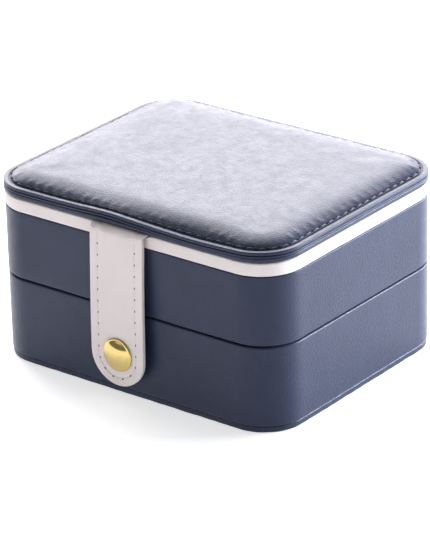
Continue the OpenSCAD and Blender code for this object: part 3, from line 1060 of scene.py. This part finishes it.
def hinge_sheet(name, width, length, lay):
    """A thin sheet with fine rows along the fold: a grid for each face, joined round the rim."""
    across = np.linspace(-width / 2, width / 2, 90)
    along = np.linspace(0, length, 41)
    columns, rows = len(across), len(along)
    back = columns * rows
    places = [(x, t, hinge_height(x, t, width, length)) for t in along for x in across]
    places += [(x, t, -HINGE_T / 2 + 0.02 * MM) for t in along for x in across]
    faces = []
    for base in (0, back):
        for row in range(rows - 1):
            for i in range(base + row * columns, base + (row + 1) * columns - 1):
                faces.append((i, i + 1, i + columns + 1, i + columns))
    rim = [*range(columns), *[row * columns + columns - 1 for row in range(1, rows)],
           *range(back - 2, back - columns - 1, -1), *[row * columns for row in range(rows - 2, 0, -1)]]
    faces += [(a, b, back + b, back + a) for a, b in zip(rim, rim[1:] + rim[:1])]
    return mesh_piece(name, lay(np.array(places)), faces, NAVY)


def hinge_strip(name, node, child, crank_at=0.0, crank=0.0):
    """A pressed leather strip glued across a fold at the back, with a crease along the fold."""
    low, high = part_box(node)
    joint = next(joint for joint in frame["joints"] if joint["child"] == child)
    fold_z = joint["pos_m"][2]
    middle = CASE_D / 2 + HINGE_T / 2

    def lay(flat):
        """Puts the strip's flat points on the case's back, creased, and stepped over the lid."""
        across, along, height = flat.T
        z = high.z - along
        step = crank * np.clip((z - crank_at) / (1.2 * MM), 0, 1)
        crease = 0.25 * MM * np.exp(-((z - fold_z) / (0.8 * MM)) ** 2)
        return np.column_stack([-across, middle + height - step - crease * (height > 0), z])

    piece = hinge_sheet(name, high.x - low.x, high.z - low.z, lay)
    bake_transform(piece)
    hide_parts(node)


hinge_strip("lower_hinge_leather", "lower_hinge", "upper_case")
hinge_strip("lid_hinge_leather", "lid_hinge", "lid", crank_at=COLLAR_TOP, crank=LID_IN)


# -------- velvet
def band(name, insets, heights, radii, longest, material):
    """A ring round the case between two insets, and between two heights, all in millimetres."""
    outer, inner = insets
    start, end = heights
    places = [(outer, start), (outer, end), (inner, end), (inner, start)]
    corners = [(*corner, radius) for corner, radius in zip(places, radii)]
    return swept(name, corners, longest, material)


def lining(name, node, body):
    """The velvet on the inside of a case's walls."""
    low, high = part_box(node)
    heights = (mm(low.z), mm(high.z))
    piece = band(name, (mm(LEATHER + BOARD), mm(ROOM_IN)), heights, (0, 0.2, 0.3, 0), 3 * MM, VELVET)
    rumpled(piece, 16 * MM, 0.12 * MM, 21)
    dressed(piece, body, "cream_velvet", node)


def velvet_slab(name, node, body, inset, edge_r):
    """A velvet-covered sheet with soft edges, such as a floor pad."""
    low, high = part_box(node)
    corners = [(48, mm(low.z), 0), (mm(inset), mm(low.z), 0.2), (mm(inset), mm(high.z), edge_r),
               (48, mm(high.z), 0)]
    piece = swept(name, corners, 3 * MM, VELVET, closed=False)
    rumpled(piece, 20 * MM, 0.15 * MM, 23)
    dressed(piece, body, "cream_velvet", node)


def divider(node, body):
    """A board wrapped in velvet: a slim block with soft edges."""
    low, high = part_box(node)
    size = high - low
    middle = (high + low) / 2
    bm = bmesh.new()
    bmesh.ops.create_cube(bm, size=1)
    bmesh.ops.scale(bm, vec=size, verts=bm.verts)
    bmesh.ops.translate(bm, vec=middle, verts=bm.verts)
    bmesh.ops.bevel(bm, geom=bm.edges, offset=0.9 * MM, segments=4, profile=0.6, affect="EDGES")
    for axis in range(3):
        across = Vector([float(k == axis) for k in range(3)])
        slices = max(2, round(size[axis] / (4 * MM)))
        for k in range(1, slices):
            cut = Vector(middle)
            cut[axis] = low[axis] + size[axis] * k / slices
            everything = [*bm.verts, *bm.edges, *bm.faces]
            bmesh.ops.bisect_plane(bm, geom=everything, plane_co=cut, plane_no=across)
    mesh = bpy.data.meshes.new(node + "_velvet")
    bm.to_mesh(mesh)
    bm.free()
    piece = smooth_piece(node + "_velvet", mesh, VELVET)
    rumpled(piece, 14 * MM, 0.18 * MM, 27)
    dressed(piece, body, "cream_velvet", node)


def lid_velvet():
    """The velvet panel under the lid, round the mirror."""
    low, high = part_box("lid_panel")
    outer = mm(CASE_W / 2 - high.x)
    inner = mm(CASE_W / 2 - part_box("mirror")[1].x - 0.3 * MM)
    heights = (mm(high.z), mm(low.z))
    panel = band("lid_velvet", (outer, inner), heights, (0, 1.0, 0.5, 0), 3 * MM, VELVET)
    rumpled(panel, 18 * MM, 0.2 * MM, 31)
    dressed(panel, "lid", "cream_velvet", "lid_panel")


def mirror_frame():
    """The leather frame that holds the mirror in."""
    low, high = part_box("mirror_frame")
    outer = mm(CASE_W / 2 - high.x)
    heights = (mm(high.z), mm(low.z))
    rim = band("mirror_frame_leather", (outer, outer + 6), heights, (0.1, 0.7, 0.7, 0.1), 1.5 * MM, CREAM)
    dressed(rim, "lid", "cream_leather", "mirror_frame")


lining("lower_wall_velvet", "lower_lining", "lower_case")
lining("upper_wall_velvet", "upper_lining", "upper_case")
velvet_slab("lower_floor_velvet", "lower_floor_pad", "lower_case", ROOM_IN, 0.6)
velvet_slab("upper_floor_velvet", "upper_floor_pad", "upper_case", ROOM_IN, 0.6)
velvet_slab("upper_underside_velvet", "upper_underside", "upper_case", LEATHER + BOARD, 0.2)
for node in ("long_divider", "cross_divider_left", "cross_divider_right"):
    divider(node, "lower_case")
for node in ("bay_divider", "cross_divider_front", "cross_divider_back"):
    divider(node, "upper_case")
lid_velvet()
mirror_frame()


# -------- CAD pieces that stay
def repaint(material, *nodes):
    """Gives CAD nodes that are shown as they are a procedural finish."""
    for node in nodes:
        held = frame["nodes"][node].data.materials
        held.clear()
        held.append(material)


repaint(GREYBOARD, "base_board", "lower_frame", "upper_frame", "upper_floor", "collar_board",
        "lid_board")
repaint(BRASS, "stud_rivet")
repaint(MIRROR, "mirror")


# -------- studio
def studio_floor():
    """Plain pale paper."""
    finish = Finish("studio_paper", Roughness=0.8, Emission_Color=(1, 1, 1, 1),
                    Emission_Strength=0.55)
    tone = finish.noise(30, 2)
    finish.set("Base Color", finish.mixed(tone, (0.93, 0.93, 0.935), (0.95, 0.95, 0.95)))
    span = 6.0
    corners = [(-span, -span, 0), (span, -span, 0), (span, span, 0), (-span, span, 0)]
    floor = mesh_piece("studio_floor", corners, [(0, 1, 2, 3)], finish.done())


def soft_light(name, place_at, size, power, colour=(1, 1, 1)):
    """A rectangular soft light that faces the case."""
    light = bpy.data.lights.new(name, "AREA")
    light.shape = "RECTANGLE"
    light.size, light.size_y = size
    light.energy = power
    light.color = colour
    lamp = linked(name, light)
    lamp.location = place_at
    facing = Vector((0, 0, 0.05)) - Vector(place_at)
    lamp.rotation_euler = facing.to_track_quat("-Z", "Y").to_euler()


def studio_camera():
    """Looks down on the front right corner, from far off with a long lens."""
    azimuth, elevation, roll = np.radians([38.11, 23.79, -1.54])
    aim = Vector((7.8, -12.1, 42.5)) * MM
    distance = 1.4543
    level = math.cos(elevation)
    away = Vector((math.sin(azimuth) * level, -math.cos(azimuth) * level, math.sin(elevation)))
    lens = bpy.data.cameras.new("studio_camera")
    lens.lens = 227.98
    lens.sensor_width = 36
    lens.clip_start = 0.05
    lens.clip_end = 50
    camera = linked("studio_camera", lens)
    turn = away.to_track_quat("Z", "Y").to_matrix() @ Matrix.Rotation(roll, 3, "Z")
    camera.matrix_world = Matrix.Translation(aim + away * distance) @ turn.to_4x4()
    bpy.context.scene.camera = camera


def studio_world():
    """Dim, slightly cool light from all round."""
    world = bpy.data.worlds.new("studio_air")
    world.use_nodes = True
    sky = world.node_tree.nodes["Background"]
    sky.inputs["Color"].default_value = (0.96, 0.97, 1.0, 1)
    sky.inputs["Strength"].default_value = 0.26
    bpy.context.scene.world = world
    bpy.context.scene.view_settings.view_transform = "Standard"


studio_floor()
studio_world()
studio_camera()
soft_light("window_behind", (-1.3, 1.5, 0.95), (2.6, 1.6), 93, (1.0, 0.96, 1.0))
soft_light("overhead", (-0.5, 0.6, 1.7), (1.2, 1.2), 16)
soft_light("key_right", (1.05, 1.45, 0.28), (1.2, 0.5), 90, (0.93, 0.97, 1.1))
soft_light("fill_front", (-0.6, -1.6, 0.9), (1.2, 0.9), 3.7)
